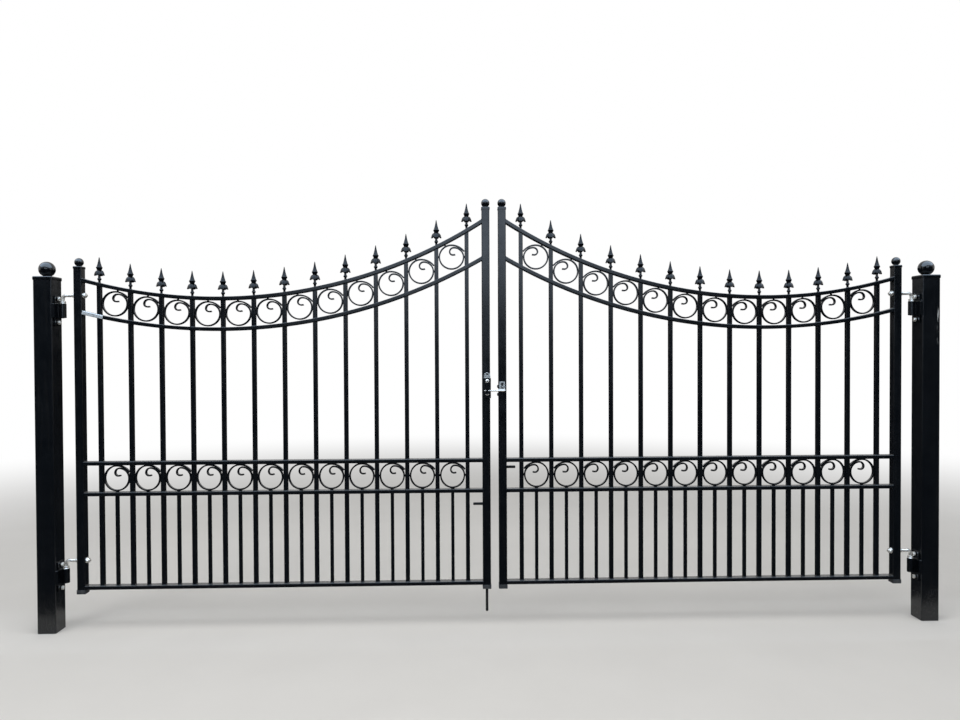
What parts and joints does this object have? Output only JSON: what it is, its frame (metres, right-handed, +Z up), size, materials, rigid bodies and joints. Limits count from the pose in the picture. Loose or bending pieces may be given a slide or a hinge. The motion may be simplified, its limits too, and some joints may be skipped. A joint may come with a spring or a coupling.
{
  "type": "driveway gate",
  "caption": "Double-leaf ornamental swing driveway gate of welded steel tube with arched tops, scroll bands, spear finials, latch, drop rods and square posts with ball caps.",
  "frame": {"origin": "centre of the left post's foot, where it meets the ground", "axes": "+X from the left post to the right post as seen from the drive, +Y away from the drive, +Z up; both leaves swing open towards -Y"},
  "size_m": [3.9692, 0.0831, 1.8855],
  "materials": {
    "black_powder_coat": "satin black powder coat",
    "zinc_plate": "dull zinc plating"
  },
  "bodies": {
    "posts": {"left_post": "black_powder_coat", "right_post": "black_powder_coat", "left_post_cap": "black_powder_coat", "right_post_cap": "black_powder_coat", "left_upper_hinge": "black_powder_coat", "left_lower_hinge": "black_powder_coat", "right_upper_hinge": "black_powder_coat", "right_lower_hinge": "black_powder_coat"},
    "left_leaf": {"left_hinge_stile": "black_powder_coat", "left_meeting_stile": "black_powder_coat", "left_stile_caps": "black_powder_coat", "left_foot_sleeves": "black_powder_coat", "left_upper_arch_rail": "black_powder_coat", "left_lower_arch_rail": "black_powder_coat", "left_upper_mid_rail": "black_powder_coat", "left_lower_mid_rail": "black_powder_coat", "left_bottom_rail": "black_powder_coat", "left_pickets": "black_powder_coat", "left_short_pickets": "black_powder_coat", "left_arch_scrolls": "black_powder_coat", "left_mid_scrolls": "black_powder_coat", "left_finials": "black_powder_coat", "left_hinge_bolts": "zinc_plate", "latch_plate": "zinc_plate", "latch_body": "black_powder_coat"},
    "right_leaf": {"right_hinge_stile": "black_powder_coat", "right_meeting_stile": "black_powder_coat", "right_stile_caps": "black_powder_coat", "right_foot_sleeves": "black_powder_coat", "right_upper_arch_rail": "black_powder_coat", "right_lower_arch_rail": "black_powder_coat", "right_upper_mid_rail": "black_powder_coat", "right_lower_mid_rail": "black_powder_coat", "right_bottom_rail": "black_powder_coat", "right_pickets": "black_powder_coat", "right_short_pickets": "black_powder_coat", "right_arch_scrolls": "black_powder_coat", "right_mid_scrolls": "black_powder_coat", "right_finials": "black_powder_coat", "right_hinge_bolts": "zinc_plate", "striker": "zinc_plate"},
    "left_drop_rod": {"left_drop_rod": "black_powder_coat"},
    "right_drop_rod": {"right_drop_rod": "black_powder_coat"},
    "latch_lever": {"latch_lever": "black_powder_coat"}
  },
  "joints": [
    {"name": "left_leaf_swing", "type": "hinge", "parent": "posts", "child": "left_leaf", "pos_m": [0.0665, 0, 0], "axis": [0, 0, -1], "range_deg": [0, 90]},
    {"name": "right_leaf_swing", "type": "hinge", "parent": "posts", "child": "right_leaf", "pos_m": [3.8197, 0, 0], "axis": [0, 0, 1], "range_deg": [0, 90]},
    {"name": "left_drop_rod_lift", "type": "slide", "parent": "left_leaf", "child": "left_drop_rod", "axis": [0, 0, 1], "range_m": [0, 0.164]},
    {"name": "right_drop_rod_lower", "type": "slide", "parent": "right_leaf", "child": "right_drop_rod", "axis": [0, 0, 1], "range_m": [-0.164, 0]},
    {"name": "latch_lever_lift", "type": "hinge", "parent": "left_leaf", "child": "latch_lever", "pos_m": [1.9111, -0.0368, 1.0835], "axis": [0, 1, 0], "range_deg": [0, 60]}
  ]
}
